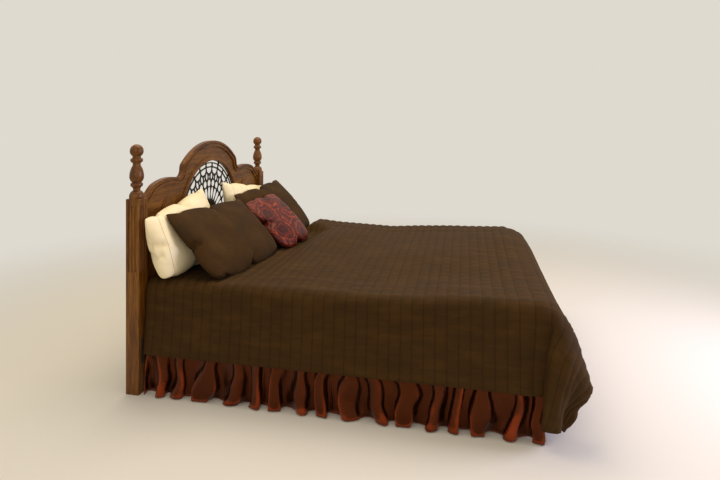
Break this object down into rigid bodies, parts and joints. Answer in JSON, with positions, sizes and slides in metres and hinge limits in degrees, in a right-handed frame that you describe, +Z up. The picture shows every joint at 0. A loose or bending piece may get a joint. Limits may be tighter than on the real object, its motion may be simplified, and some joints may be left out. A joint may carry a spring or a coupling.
{
  "type": "made-up queen bed with a carved headboard",
  "caption": "Made-up queen bed: carved arched headboard with iron tracery, turned posts, draped quilt, gathered skirt, leaning pillows, shams and a square cushion.",
  "frame": {"origin": "on the floor, under the middle of the whole bed's bounding box", "axes": "+X from the head to the foot, +Y to the far side of the picture, +Z up"},
  "size_m": [2.3063, 1.8394, 1.305],
  "materials": {
    "stained_wood": "satin lacquer",
    "wrought_iron": "black, satin",
    "painted_steel": "dark brown powder coat",
    "zinc_steel": "zinc plated",
    "nylon": "matt",
    "ticking": "woven ticking",
    "muslin": "plain weave",
    "satin": "burgundy satin",
    "quilted_cotton": "dark olive brown, channel quilted",
    "white_cotton": "off-white cotton",
    "sham_cotton": "olive brown, creased",
    "damask": "crimson damask"
  },
  "bodies": {
    "root": {"arch_moulding": "stained_wood", "box_spring": "ticking", "bracket_far": "painted_steel", "bracket_near": "painted_steel", "cross_rail_foot": "painted_steel", "cross_rail_head": "painted_steel", "cross_rail_middle": "painted_steel", "crown_moulding": "stained_wood", "cushion": "damask", "finial_far": "stained_wood", "finial_near": "stained_wood", "glides": "nylon", "grille": "wrought_iron", "headboard_bolts": "zinc_steel", "headboard_panel": "stained_wood", "legs_foot": "painted_steel", "legs_head": "painted_steel", "legs_middle": "painted_steel", "lower_rail": "stained_wood", "mattress": "ticking", "pillow_far": "white_cotton", "pillow_near": "white_cotton", "post_far": "stained_wood", "post_near": "stained_wood", "quilt": "quilted_cotton", "raised_panel_far": "stained_wood", "raised_panel_near": "stained_wood", "sham_far": "sham_cotton", "sham_near": "sham_cotton", "side_rail_far": "painted_steel", "side_rail_near": "painted_steel", "skirt_deck": "muslin", "skirt_far": "satin", "skirt_foot": "satin", "skirt_near": "satin"}
  },
  "joints": []
}
